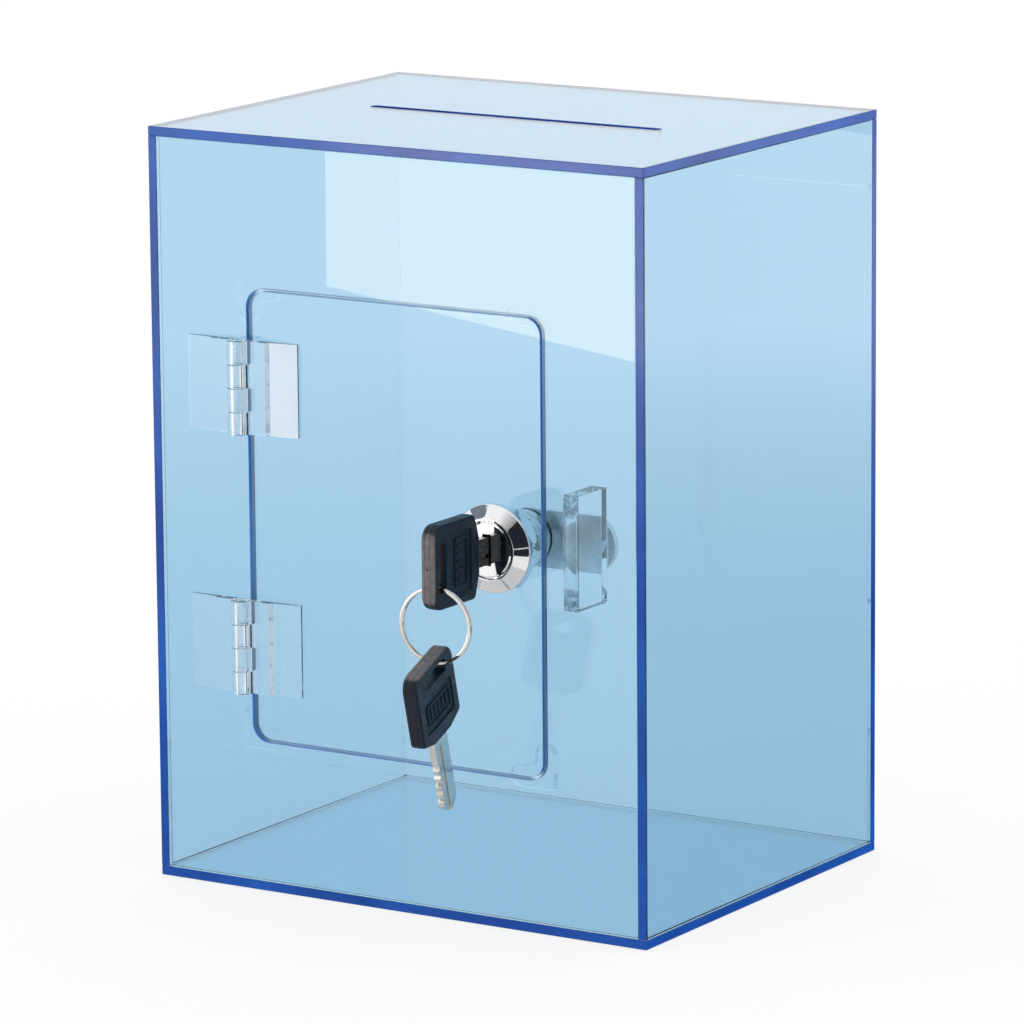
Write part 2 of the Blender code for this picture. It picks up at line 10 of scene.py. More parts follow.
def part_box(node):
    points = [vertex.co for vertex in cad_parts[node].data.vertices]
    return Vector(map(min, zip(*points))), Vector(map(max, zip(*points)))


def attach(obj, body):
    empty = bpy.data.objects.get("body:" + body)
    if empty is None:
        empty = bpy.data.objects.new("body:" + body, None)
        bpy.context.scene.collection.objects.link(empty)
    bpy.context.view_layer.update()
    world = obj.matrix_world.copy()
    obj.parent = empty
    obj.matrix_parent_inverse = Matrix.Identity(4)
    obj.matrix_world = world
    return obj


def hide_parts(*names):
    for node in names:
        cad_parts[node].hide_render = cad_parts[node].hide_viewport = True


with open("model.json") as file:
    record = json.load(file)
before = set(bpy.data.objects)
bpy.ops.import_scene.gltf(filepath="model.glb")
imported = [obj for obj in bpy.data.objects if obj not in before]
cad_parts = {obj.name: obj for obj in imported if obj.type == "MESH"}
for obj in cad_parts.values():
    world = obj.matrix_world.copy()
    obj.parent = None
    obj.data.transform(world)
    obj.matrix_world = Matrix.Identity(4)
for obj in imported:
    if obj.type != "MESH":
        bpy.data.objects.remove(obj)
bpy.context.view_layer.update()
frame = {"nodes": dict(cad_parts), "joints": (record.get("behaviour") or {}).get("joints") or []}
NODES = frame["nodes"]
JOINTS = {joint["name"]: joint for joint in frame["joints"]}

MM = 0.001

# Sizes shared with the frame, in millimetres
WIDTH = 150.0
DEPTH = 118.0
HEIGHT = 200.0
SHEET = 2.5
FRONT = -DEPTH / 2
MONEY_SLOT = (89.0, 3.0)
OPENING = (90.0, 120.0)
OPENING_MIDDLE = 100.0
CORNER = 5.0
KERF = 0.6
HINGE_KERF = 0.9
JOINT_LINE = 0.04               # thickness of the solvent-welded joints
SHEET_EDGE = (0.15, 2)          # width and segments of the rounding on the edges of a sheet
HINGE_X, HINGE_Y = [value / MM for value in JOINTS["door_hinge"]["pos_m"][:2]]
LOCK_X, _, LOCK_Z = [value / MM for value in JOINTS["lock_turn"]["pos_m"]]
RING_PIVOT = Vector(JOINTS["ring_hang"]["pos_m"])
SPARE_PIVOT = Vector(JOINTS["spare_key_swing"]["pos_m"])

# The camera, which looks down on the front and the right side
AZIMUTH = math.radians(32.39966)
ELEVATION = math.radians(11.55791)
ROLL = math.radians(-0.474035)
DISTANCE = 1.741605
TARGET = Vector((-0.0017063, 0.0, 0.0950038))
LENS = 232.242


# --- node trees --------------------------------------------------------------------------------

def add(tree, kind, settings=None, **values):
    """A shader node. Values name its inputs, by title or as i0, i1, and are numbers or sockets."""
    made = tree.nodes.new("ShaderNode" + kind)
    for key, value in (settings or {}).items():
        setattr(made, key, value)
    for key, value in values.items():
        if key[0] == "i" and key[1:].isdigit():
            socket = made.inputs[int(key[1:])]
        else:
            socket = made.inputs[key.replace("_", " ")]
        if isinstance(value, bpy.types.NodeSocket):
            tree.links.new(value, socket)
        else:
            socket.default_value = value
    return made


def blank(name, own=False):
    """A material, its tree and Principled shader, and coordinates of the box or the piece's own."""
    material = bpy.data.materials.new(name)
    material.use_nodes = True
    tree = material.node_tree
    shader = tree.nodes["Principled BSDF"]
    if own:
        place = add(tree, "Attribute", {"attribute_name": "own_place"}).outputs["Vector"]
    else:
        place = add(tree, "TexCoord").outputs["Object"]
    return material, tree, shader, place


def noise(tree, place, scale, detail=2.0, stretch=None, roughness=0.5):
    if stretch is not None:
        place = add(tree, "Mapping", Vector=place, Scale=stretch).outputs[0]
    return add(tree, "TexNoise", Vector=place, Scale=scale, Detail=detail,
               Roughness=roughness).outputs["Fac"]


def ranged(tree, value, low, high, start=0.0, end=1.0):
    """Value, mapped from low..high to start..end and clamped."""
    return add(tree, "MapRange", i0=value, i1=low, i2=high, i3=start, i4=end).outputs[0]


def maths(tree, operation, first, second=0.0):
    return add(tree, "Math", {"operation": operation}, i0=first, i1=second).outputs[0]


def blended(tree, share, first, second):
    """A colour that goes from the first to the second as share goes from 0 to 1."""
    made = add(tree, "Mix", {"data_type": "RGBA"}, i0=share, i6=(*first, 1), i7=(*second, 1))
    return made.outputs[2]


def bumped(tree, shader, height, strength, distance):
    made = add(tree, "Bump", Height=height, Strength=strength, Distance=distance)
    tree.links.new(made.outputs[0], shader.inputs["Normal"])


def scratches(tree, place, stretch, amount):
    """Fine hairlines, 0 to amount."""
    return ranged(tree, noise(tree, place, 1.0, 3.0, stretch), 0.62, 0.72, 0.0, amount)


# --- materials ---------------------------------------------------------------------------------

ACRYLIC_INDEX = 1.49


def acrylic(name, colour, density=0.0, smear=0.03, index=ACRYLIC_INDEX):
    """Clear acrylic, wiped and lightly scratched. A density puts its tint inside it."""
    material, tree, shader, place = blank(name)
    shader.inputs["Base Color"].default_value = (1, 1, 1, 1) if density else (*colour, 1)
    shader.inputs["IOR"].default_value = index
    shader.inputs["Transmission Weight"].default_value = 1.0
    wiped = ranged(tree, noise(tree, place, 38.0, 4.0), 0.45, 0.75, 0.0, smear)
    lines = scratches(tree, place, (90.0, 90.0, 2600.0), 0.03)
    tree.links.new(maths(tree, "ADD", wiped, lines), shader.inputs["Roughness"])
    if density:
        volume = add(tree, "VolumeAbsorption", Color=(*colour, 1.0), Density=density)
        tree.links.new(volume.outputs[0], tree.nodes["Material Output"].inputs["Volume"])
    return material


def cut_edge(name, deep, bright):
    """The saturated, glossy look of a cut edge of tinted sheet, with the marks of the cut."""
    material, tree, shader, place = blank(name)
    glow = ranged(tree, noise(tree, place, 28.0, 3.0), 0.35, 0.65)
    tree.links.new(blended(tree, glow, deep, bright), shader.inputs["Base Color"])
    shader.inputs["IOR"].default_value = ACRYLIC_INDEX
    shader.inputs["Specular IOR Level"].default_value = 0.27
    lines = noise(tree, place, 1.0, 2.0, (2400.0, 2400.0, 2400.0))
    tree.links.new(ranged(tree, lines, 0.3, 0.7, 0.05, 0.16), shader.inputs["Roughness"])
    return material


def glued(name, colour, glue_colour, middle, clean):
    """A face that is glued on by its two ends: clear round its middle, with frosted glue beyond."""
    material, tree, shader, place = blank(name)
    shader.inputs["IOR"].default_value = ACRYLIC_INDEX
    height = add(tree, "SeparateXYZ", Vector=place).outputs[2]
    away = maths(tree, "ABSOLUTE", maths(tree, "SUBTRACT", height, middle * MM))
    wave = maths(tree, "MULTIPLY", noise(tree, place, 320.0, 3.0), 4.0 * MM)
    blur = 0.6
    glue = ranged(tree, maths(tree, "SUBTRACT", away, wave),
                  (clean - blur) * MM, (clean + blur) * MM)
    mottle = ranged(tree, noise(tree, place, 900.0, 4.0), 0.35, 0.65, 0.3, 1.0)
    frost = maths(tree, "MULTIPLY", glue, mottle)
    tree.links.new(blended(tree, frost, colour, glue_colour), shader.inputs["Base Color"])
    tree.links.new(ranged(tree, frost, 0.0, 1.0, 1.0, 0.4), shader.inputs["Transmission Weight"])
    tree.links.new(ranged(tree, frost, 0.0, 1.0, 0.04, 0.45), shader.inputs["Roughness"])
    bumped(tree, shader, noise(tree, place, 1300.0, 3.0), 0.4, 0.2 * MM)
    return material


def metal(name, colour, roughness, grain, stretch, tarnish=0.06, own=False):
    """Metal with a slightly uneven gloss, hairline scratches and a fine grain."""
    material, tree, shader, place = blank(name, own)
    shader.inputs["Metallic"].default_value = 1.0
    cloud = noise(tree, place, 260.0, 4.0)
    dark = [channel * (1.0 - tarnish) for channel in colour]
    tree.links.new(blended(tree, ranged(tree, cloud, 0.35, 0.7), colour, dark),
                   shader.inputs["Base Color"])
    uneven = ranged(tree, cloud, 0.3, 0.7, roughness * 0.8, roughness * 1.3)
    lines = scratches(tree, place, [scale * 0.5 for scale in stretch], 0.12)
    tree.links.new(maths(tree, "ADD", uneven, lines), shader.inputs["Roughness"])
    bumped(tree, shader, noise(tree, place, 1.0, 3.0, stretch), grain, 0.05 * MM)
    return material


def near(tree, value, middle, reach):
    """1 where the value is within reach of the middle, else 0."""
    return add(tree, "Math", {"operation": "COMPARE"}, i0=value, i1=middle, i2=reach).outputs[0]


def moulded(name, colour, painted_highlight, panel):
    """Satin moulded plastic, its outer end made paler by a painted highlight, with a stipple inside
    the sunk panel.
    """
    material, tree, shader, place = blank(name, True)
    _, length, height = add(tree, "SeparateXYZ", Vector=place).outputs
    start, end, reach = panel
    # painted highlight: the outer end of the head is blended, patchily, towards a paler colour
    painted_end_highlight = maths(tree, "MULTIPLY", ranged(tree, length, 0.35 * MM, 0.9 * MM, 1.0, 0.0),
                ranged(tree, noise(tree, place, 500.0, 3.0), 0.3, 0.7, 0.55, 1.0))
    tree.links.new(blended(tree, painted_end_highlight, colour, painted_highlight), shader.inputs["Base Color"])
    shader.inputs["Specular IOR Level"].default_value = 0.28
    inside = maths(tree, "MULTIPLY",
                   near(tree, length, (start + end) / 2 * MM, (end - start) / 2 * MM),
                   near(tree, height, 0.0, reach * MM))
    fine = maths(tree, "MULTIPLY", noise(tree, place, 1400.0, 2.0), 0.35)
    coarse = add(tree, "TexVoronoi", Vector=place, Scale=1900.0).outputs["Distance"]
    stipple = maths(tree, "MULTIPLY", inside, coarse)
    bumped(tree, shader, maths(tree, "ADD", fine, stipple), 0.35, 0.2 * MM)
    rub = ranged(tree, noise(tree, place, 180.0, 4.0), 0.35, 0.7, 0.27, 0.42)
    matt = maths(tree, "MULTIPLY", inside, 0.12)
    tree.links.new(maths(tree, "ADD", rub, matt), shader.inputs["Roughness"])
    return material


BLUE = acrylic("blue_acrylic_sheet", (0.810, 0.907, 0.958), 1000.0, 0.02)
EDGE = cut_edge("blue_acrylic_cut_edge", (0.002, 0.055, 0.33), (0.010, 0.11, 0.52))
KERF_EDGE = cut_edge("blue_acrylic_laser_cut", (0.10, 0.40, 0.80), (0.19, 0.50, 0.90))
WATER_CLEAR = (0.975, 0.985, 0.99)
CLEAR = acrylic("clear_acrylic_block", WATER_CLEAR)
HINGE = acrylic("clear_acrylic_moulding", WATER_CLEAR)
GLUED = glued("clear_acrylic_glued_face", WATER_CLEAR, (0.30, 0.37, 0.43), middle=99.85,
              clean=7.2)
# the stops are welded flat to the sheet, so little of them shows
FAINT = acrylic("clear_acrylic_welded_stop", (0.985, 0.99, 0.995), index=1.13)
CHROME = metal("bright_chrome", (0.80, 0.80, 0.82), 0.05, 0.05, (700.0, 700.0, 700.0))
ZINC = metal("zinc_plated_steel", (0.86, 0.87, 0.87), 0.30, 0.1, (2600.0, 300.0, 300.0))
BRASS = metal("stamped_brass", (0.78, 0.60, 0.30), 0.25, 0.25, (400.0, 400.0, 2200.0), 0.15)
NICKEL = metal("brushed_nickel", (0.70, 0.69, 0.66), 0.16, 0.35, (300.0, 300.0, 3200.0), 0.12,
               own=True)
RING_NICKEL = metal("polished_nickel_wire", (0.74, 0.72, 0.68), 0.07, 0.08,
                    (900.0, 900.0, 900.0), 0.1)
KEY_PANEL = (8.4, 17.4, 8.0)    # start, end and reach of the sunk panel in a key's head
# the second colour is the painted highlight on the outer end of a key's head
PLASTIC = moulded("black_moulded_plastic", (0.006, 0.013, 0.024), (0.21, 0.18, 0.18), KEY_PANEL)

FINISH = {
    "lock_housing": CHROME, "lock_nut": CHROME, "lock_plug": CHROME,
    "lock_cam": ZINC, "stop_washer": ZINC, "screw_washer": ZINC, "cam_screw": ZINC,
    "key_head": PLASTIC, "spare_key_head": PLASTIC, "key_blade": NICKEL, "spare_key_blade": NICKEL,
    "key_ring": RING_NICKEL,
}


def finish_of(node):
    """The material of a CAD node, whether it shows or a piece below stands for it."""
    if node in FINISH:
        return FINISH[node]
    if node.startswith("wafer_spring"):
        return ZINC
    if node.startswith("wafer"):
        return BRASS
    if node.endswith("panel"):
        return BLUE
    return CLEAR


for node_name, node_object in NODES.items():
    node_object.data.materials.clear()
    node_object.data.materials.append(finish_of(node_name))


# --- shapes ------------------------------------------------------------------------------------

def arc(centre, radius, start, end, steps):
    """Points on an arc, its angles in degrees."""
    angles = [math.radians(start + (end - start) * i / steps) for i in range(steps + 1)]
    return [(centre[0] + radius * math.cos(a), centre[1] + radius * math.sin(a)) for a in angles]


def circle(radius, steps):
    return arc((0, 0), radius, 0, 360 * (steps - 1) / steps, steps - 1)


def rounded_rectangle(left, right, bottom, top, radius, steps=10):
    corners = ((right - radius, bottom + radius, -90), (right - radius, top - radius, 0),
               (left + radius, top - radius, 90), (left + radius, bottom + radius, 180))
    points = []
    for u, v, angle in corners:
        points += arc((u, v), radius, angle, angle + 90, steps)
    return points


def rectangle(left, right, bottom, top):
    return [(left, bottom), (right, bottom), (right, top), (left, top)]


def inset(outline, distance):
    """An anticlockwise outline, moved inwards by a small distance."""
    count = len(outline)
    points = []
    for i, point in enumerate(outline):
        before = Vector(point) - Vector(outline[i - 1])
        after = Vector(outline[(i + 1) % count]) - Vector(point)
        first = Vector((-before.y, before.x)).normalized()
        second = Vector((-after.y, after.x)).normalized()
        middle = (first + second).normalized()
        points.append(tuple(Vector(point) + middle * distance / max(0.5, middle.dot(first))))
    return points


PLACES = {
    "X": lambda u, v, w: (w, u, v),
    "Y": lambda u, v, w: (u, w, v),
    "Z": lambda u, v, w: (u, v, w),
}


def lofted(layers, axis, holes=()):
    """A solid through outlines of one point count, each (outline, height). Holes go through it."""
    place = PLACES[axis]
    mesh = bmesh.new()

    def walls(rings):
        for low, high in zip(rings, rings[1:]):
            for i in range(len(low)):
                j = (i + 1) % len(low)
                face = mesh.faces.new((low[i], high[i], high[j], low[j]))
                face.material_index = 1

    def loop(outline, height):
        return [mesh.verts.new(Vector(place(u, v, height)) * MM) for u, v in outline]

    rings = [loop(outline, height) for outline, height in layers]
    walls(rings)
    bores = []
    for hole in holes:
        pair = [loop(hole, layers[0][1]), loop(hole, layers[-1][1])]
        walls([pair[0][::-1], pair[1][::-1]])
        bores.append(pair)
    for end in (0, -1):
        loops = [rings[end]] + [pair[end] for pair in bores]
        flat = [[Vector((*layers[end][0][i], 0)) for i in range(len(rings[end]))]]
        flat += [[Vector((u, v, 0)) for u, v in hole] for hole in holes]
        verts = [v for ring in loops for v in ring]
        for triple in tessellate_polygon(flat):
            mesh.faces.new([verts[i] for i in triple])
    bmesh.ops.recalc_face_normals(mesh, faces=mesh.faces)
    return mesh


def prism(outline, start, end, axis="Z", holes=()):
    return lofted([(outline, start), (outline, end)], axis, holes)


def block(x, y, z):
    return prism(rectangle(*x, *y), *z)


def lathe(rows, steps):
    """A hollow ring about Y. Each row gives (Y, radius), or a function of the angle that does."""
    mesh = bmesh.new()
    rings = []
    for row in rows:
        ring = []
        for i in range(steps):
            angle = math.tau * i / steps
            y, radius = row(angle) if callable(row) else row
            point = Vector((radius * math.cos(angle), y, radius * math.sin(angle)))
            ring.append(mesh.verts.new(point * MM))
        rings.append(ring)
    bridge(mesh, rings + rings[:1])
    bmesh.ops.recalc_face_normals(mesh, faces=mesh.faces)
    return mesh


def bridge(mesh, rings):
    """Faces from each closed ring of points to the next."""
    for first, second in zip(rings, rings[1:]):
        for i in range(len(first)):
            j = (i + 1) % len(first)
            mesh.faces.new((first[i], first[j], second[j], second[i]))


def one_material(mesh):
    for face in mesh.faces:
        face.material_index = 0
    return mesh


def item_from(name, mesh, materials=()):
    data = bpy.data.meshes.new(name)
    mesh.to_mesh(data)
    mesh.free()
    for material in materials:
        data.materials.append(material)
    item = bpy.data.objects.new(name, data)
    bpy.context.scene.collection.objects.link(item)
    return item


def carved(mesh, cutters, operation="DIFFERENCE"):
    """The mesh with the other meshes cut out of it, or joined to it."""
    base = item_from("carved", mesh)
    tools = [item_from("cutter", cutter) for cutter in cutters]
    for tool in tools:
        modifier = base.modifiers.new("cut", "BOOLEAN")
        modifier.operation = operation
        modifier.solver = "EXACT"
        modifier.object = tool
    shown = base.evaluated_get(bpy.context.evaluated_depsgraph_get())
    result = bmesh.new()
    result.from_mesh(shown.to_mesh())
    shown.to_mesh_clear()
    for made in [base] + tools:
        data = made.data
        bpy.data.objects.remove(made)
        bpy.data.meshes.remove(data)
    bmesh.ops.remove_doubles(result, verts=result.verts, dist=1e-7)
    return result


def rounded(item, width, segments, angle=35):
    """Rounds the edges that turn by more than the angle, and keeps the faces between them flat."""
    modifier = item.modifiers.new("edges", "BEVEL")
    modifier.width = width * MM
    modifier.segments = segments
    modifier.limit_method = "ANGLE"
    modifier.angle_limit = math.radians(angle)
    flat = item.modifiers.new("flat_faces", "WEIGHTED_NORMAL")
    flat.keep_sharp = True


def piece(node, mesh, materials, body, matrix=None, edge=None, angle=32):
    """A piece that stands for the CAD node of the same name and rides on its body.

    The mesh keeps the places that its points had before the matrix, for materials that use them.
    """
    own = [value for vertex in mesh.verts for value in vertex.co]
    if matrix is not None:
        mesh.transform(matrix)
    item = item_from(node + "_look", mesh, materials)
    item.data.attributes.new("own_place", "FLOAT_VECTOR", "POINT").data.foreach_set("vector", own)
    if edge:
        rounded(item, *edge)
    item.data.shade_smooth()
    item.data.set_sharp_from_angle(angle=math.radians(angle))
    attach(item, body)
    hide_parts(node)
    return item


# --- the box -----------------------------------------------------------------------------------

def build_panels():
    half_x, half_y = WIDTH / 2, DEPTH / 2
    inside = SHEET + JOINT_LINE
    low, high = inside, HEIGHT - inside
    length, width = MONEY_SLOT
    slot = rounded_rectangle(-length / 2, length / 2, -width / 2, width / 2, width / 2 - 0.1)
    full = rectangle(-half_x, half_x, -half_y, half_y)
    side = rectangle(-half_y, half_y - inside, low, high)
    back = rectangle(-half_x, half_x, low, high)
    front = rectangle(inside - half_x, half_x - inside, low, high)
    opening = rounded_rectangle(-OPENING[0] / 2, OPENING[0] / 2, OPENING_MIDDLE - OPENING[1] / 2,
                                OPENING_MIDDLE + OPENING[1] / 2, CORNER)
    shapes = {
        "bottom_panel": prism(full, 0, SHEET),
        "top_panel": prism(full, HEIGHT - SHEET, HEIGHT, "Z", [slot]),
        "left_panel": prism(side, -half_x, SHEET - half_x, "X"),
        "right_panel": prism(side, half_x - SHEET, half_x, "X"),
        "back_panel": prism(back, half_y - SHEET, half_y, "Y"),
        "front_panel": prism(front, FRONT, FRONT + SHEET, "Y", [opening]),
    }
    for node, mesh in shapes.items():
        for face in mesh.faces:
            if face.material_index and not is_open(node, face.calc_center_median() / MM):
                face.material_index = 0
        cut = KERF_EDGE if node == "front_panel" else EDGE
        piece(node, mesh, (BLUE, cut), "box", edge=SHEET_EDGE)


def is_open(node, middle):
    """Whether a side of a panel, with its middle there, is a free edge that isn't welded."""
    near_edge = 0.1
    if node == "front_panel":
        return (abs(middle.x) < OPENING[0] / 2 + 1
                and abs(middle.z - OPENING_MIDDLE) < OPENING[1] / 2 + 1)
    if node in ("left_panel", "right_panel"):
        return middle.y < FRONT + near_edge
    if node == "back_panel":
        return abs(middle.x) > WIDTH / 2 - near_edge
    return True


def build_door():
    outline = rounded_rectangle(HINGE_KERF - OPENING[0] / 2, OPENING[0] / 2 - KERF,
                                OPENING_MIDDLE - OPENING[1] / 2 + KERF,
                                OPENING_MIDDLE + OPENING[1] / 2 - KERF, CORNER - KERF)
    room = 0.3
    hole = [(u + LOCK_X, v + LOCK_Z)
            for u, v in flatted_circle(BARREL_OUTER + room, BARREL_FLAT + room)]
    mesh = prism(outline, FRONT, FRONT + SHEET, "Y", [hole])
    piece("door_panel", mesh, (BLUE, KERF_EDGE), "door", edge=SHEET_EDGE)


def build_corner_stops():
    """An L with round ends behind each corner of the door."""
    reach_x, reach_z, width = 13.2, 11.8, 5.6
    arm = width / 2
    inner = width + 2.5
    outline = [(0, 0), (reach_x - arm, 0)]
    outline += arc((reach_x - arm, arm), arm, -75, 90, 11)
    outline += arc((inner, inner), inner - width, 270, 180, 8)
    outline += arc((arm, reach_z - arm), arm, 0, 165, 11)
    outline += [(0, reach_z - arm)]
    for side, sign_x in (("left", 1), ("right", -1)):
        for level, sign_z in (("bottom", 1), ("top", -1)):
            node = f"corner_stop_{level}_{side}"
            low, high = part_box(node)
            x = (low if sign_x == 1 else high).x / MM
            z = (low if sign_z == 1 else high).z / MM
            points = [(x + u * sign_x, z + v * sign_z) for u, v in outline]
            mesh = prism(points, FRONT + SHEET + JOINT_LINE, high.y / MM, "Y")
            piece(node, mesh, (FAINT,), "box", edge=(0.3, 3))


def build_strike():
    """The block that the cam turns in behind. Its front face is glued to the front panel."""
    low, high = [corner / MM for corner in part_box("strike_block")]
    mesh = block((low.x, high.x), (FRONT + SHEET + JOINT_LINE, high.y), (low.z, high.z))
    for face in mesh.faces:
        face.material_index = 1 if face.normal.y < -0.9 else 0
    piece("strike_block", mesh, (CLEAR, GLUED), "box", edge=(0.45, 3))


# --- the hinges --------------------------------------------------------------------------------

HINGE_HALF = 12.25
HINGE_OFFSET = 34.3
HINGE_REACH = 17.1
FLANGE_REACH = 8.1
FLANGE = (0.5, 1.4)             # thickness of the flange at its outer edge and at the step
WEB = 2.4
BARREL = 2.8
PIN = 1.2
KNUCKLES = 4
KNUCKLE_GAP = 0.3
KNUCKLE_PITCH = (2 * HINGE_HALF + KNUCKLE_GAP) / KNUCKLES


def leaf_outline():
    """The left leaf seen from above, about the pin: flange, step, web and barrel."""
    back = BARREL
    step = -HINGE_REACH + FLANGE_REACH
    meet = math.degrees(math.acos((back - WEB) / BARREL))
    outline = [(-HINGE_REACH, back), (0, back)]
    outline += arc((0, 0), BARREL, 82, meet - 270, 36)
    outline += [(step + 0.8, back - WEB), (step, back - FLANGE[1]),
                (-HINGE_REACH, back - FLANGE[0])]
    return outline


def build_hinges():
    for level, sign in (("upper", 1), ("lower", -1)):
        height = OPENING_MIDDLE + sign * HINGE_OFFSET
        place = Matrix.Translation(Vector((HINGE_X, HINGE_Y, height)) * MM)
        for name, side, body, first_cut in (("frame_leaf", 1, "box", 0),
                                            ("door_leaf", -1, "door", 1)):
            outline = [(u * side, v) for u, v in leaf_outline()]
            mesh = prism(outline if side == 1 else outline[::-1], -HINGE_HALF, HINGE_HALF)
            cutters = []
            for i in range(first_cut, KNUCKLES, 2):
                top = HINGE_HALF - i * KNUCKLE_PITCH
                x = sorted((-side * (BARREL + 0.4), side * 2 * BARREL))
                cutters.append(block(x, (-6, 6), (top - KNUCKLE_PITCH, top + KNUCKLE_GAP)))
            cutters.append(prism(circle(PIN + 0.2, 32), -HINGE_HALF - 1, HINGE_HALF + 1))
            mesh = one_material(carved(mesh, cutters))
            piece(f"{level}_hinge_{name}", mesh, (HINGE,), body, place, (0.2, 2))
        mesh = prism(circle(PIN, 32), -HINGE_HALF + 0.2, HINGE_HALF - 0.2)
        piece(f"{level}_hinge_pin", mesh, (CLEAR,), "box", place,
              (0.25, 2, 50), 50)


# --- the lock ----------------------------------------------------------------------------------

BARREL_OUTER = 7.9
BARREL_FLAT = 7.4
PLUG_BORE = 6.25
THREAD_DEPTH = 0.4
THREAD_PITCH = 1.0
THREAD_STEPS = 58
HOUSING_END = FRONT + 13.4
LUG = (math.radians(125), math.radians(145))
WAFER_GROOVE = (3.4, PLUG_BORE + 0.65)


def flatted_circle(radius, flat):
    turn = math.degrees(math.acos(flat / radius))
    return (arc((0, 0), radius, turn, 180 - turn, 24)
            + arc((0, 0), radius, 180 + turn, 360 - turn, 24))


def threaded(y, depth):
    """A row of the barrel's outside: a thread, cut off flat on the left and right."""
    def row(angle):
        phase = (y / THREAD_PITCH - angle / math.tau) % 1.0
        ridge = 1.0 - abs(2.0 * phase - 1.0)
        radius = BARREL_OUTER - depth * ridge
        side = abs(math.cos(angle))
        return y, min(radius, BARREL_FLAT / side) if side > 0.5 else radius
    return row


def lugged(radius):
    """A row of the barrel's end, with the lug that stops the turn."""
    def row(angle):
        inside = LUG[0] < angle < LUG[1]
        return HOUSING_END + (1.0 if inside else 0.0), radius
    return row


def build_housing(lock):
    """The head with its bevel, the bore with its wafer grooves, the lug and the thread."""
    seat = FRONT - 0.3
    face = FRONT - 3.2
    neck = 7.1
    rows = [(seat, neck), (seat, 11.35), (seat - 0.12, 11.6), (seat - 0.55, 11.6),
            (seat - 0.75, 11.5), (seat - 0.9, 11.3),
            (face + 0.42, 8.62), (face + 0.16, 8.32), (face + 0.03, 8.15), (face, 8.0), (face, 7.7),
            (face + 0.1, 7.56), (face + 0.25, 7.5), (face + 1.3, 7.5), (face + 1.3, PLUG_BORE),
            (HOUSING_END - 0.02, PLUG_BORE), lugged(PLUG_BORE + 0.15), lugged(BARREL_FLAT - 0.35)]
    start = FRONT + 0.1
    end = HOUSING_END - 0.25
    for i in range(THREAD_STEPS + 1):
        depth = THREAD_DEPTH if i < THREAD_STEPS - 4 else 0.0
        rows.append(threaded(end + (start - end) * i / THREAD_STEPS, depth))
    rows.append((start - 0.2, neck))
    half, reach = WAFER_GROOVE
    along = (FRONT - 2.1, FRONT + 9.5)
    grooves = [block((-half, half), along, (-reach, reach)),
               block((-reach, reach), along, (-half, half))]
    mesh = one_material(carved(lathe(rows, 96), grooves))
    piece("lock_housing", mesh, (CHROME,), "door", lock, angle=28)


def build_nut(lock):
    """A hexagon nut with chamfered corners."""
    start, end = FRONT + SHEET + JOINT_LINE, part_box("lock_nut")[1].y / MM
    apothem = 11.8 * math.cos(math.radians(30))
    bore = BARREL_OUTER + 0.12

    def hexagon(y, limit):
        def row(angle):
            turn = (angle % math.radians(60)) - math.radians(30)
            return y, min(apothem / math.cos(turn), limit)
        return row

    rows = [(start, bore + 0.4), hexagon(start, 10.4), hexagon(start + 0.25, 10.95),
            hexagon(start + 0.6, 11.75), hexagon(end - 0.6, 11.75), hexagon(end - 0.25, 10.95),
            hexagon(end, 10.4), (end, bore + 0.4), (end - 0.4, bore), (start + 0.4, bore)]
    piece("lock_nut", lathe(rows, 120), (CHROME,), "door", lock, angle=22)


# --- the keys and their ring -------------------------------------------------------------------

KEY_LENGTH = 21.5
KEY_HALF_HEIGHT = 11.0
KEY_HALF = 2.0
KEY_REACH = 30.7                # from the front of the door to the outer end of the key's head
KEY_RIM = (
    # the head's side from the outside in: half its thickness, and how far its outline is moved in
    (2.0, 0.75), (1.93, 0.38), (1.75, 0.14), (1.45, 0.04), (0.98, 0.0),
    (0.88, 0.12), (0.72, 0.12), (0.62, 0.0), (0.14, 0.0), (0.06, -0.05),
)
SPARE_HOLD = (3.6, 5.35)        # where the ring holds the spare key, from its outer end and middle
SPARE_LEAN = 17                 # degrees off the vertical
BLADE_START = 11.0
BLADE_LENGTH = 21.4
BLADE_HALF = 0.9
BLADE_CUTS = (0.9, 0.4, 1.1, 0.6, 0.8)
RING_PITCH = 0.58
RING_TURNS = 1.94
RING_DROP = 7.1
RING_ASIDE = 0.6
RING_CENTRE = 9.55              # radius to the middle of the wire
RING_YAW = 7
RING_STEPS = 96


def key_head_outline():
    """The head from the side: round outer corners, and shoulders that run in to the blade."""
    half = KEY_HALF_HEIGHT
    corner, shoulder, nose = 4.0, 1.6, 1.0
    shoulder_y = 18.3
    nose_y, nose_z = KEY_LENGTH - nose, 4.4
    outline = arc((corner, -half + corner), corner, 180, 270, 12)
    outline += arc((shoulder_y, -half + shoulder), shoulder, -90, -25, 4)
    outline += arc((nose_y, -nose_z), nose, -20, 0, 2)
    outline += arc((nose_y, nose_z), nose, 0, 20, 2)
    outline += arc((shoulder_y, half - shoulder), shoulder, 25, 90, 4)
    outline += arc((corner, half - corner), corner, 90, 180, 12)
    return outline


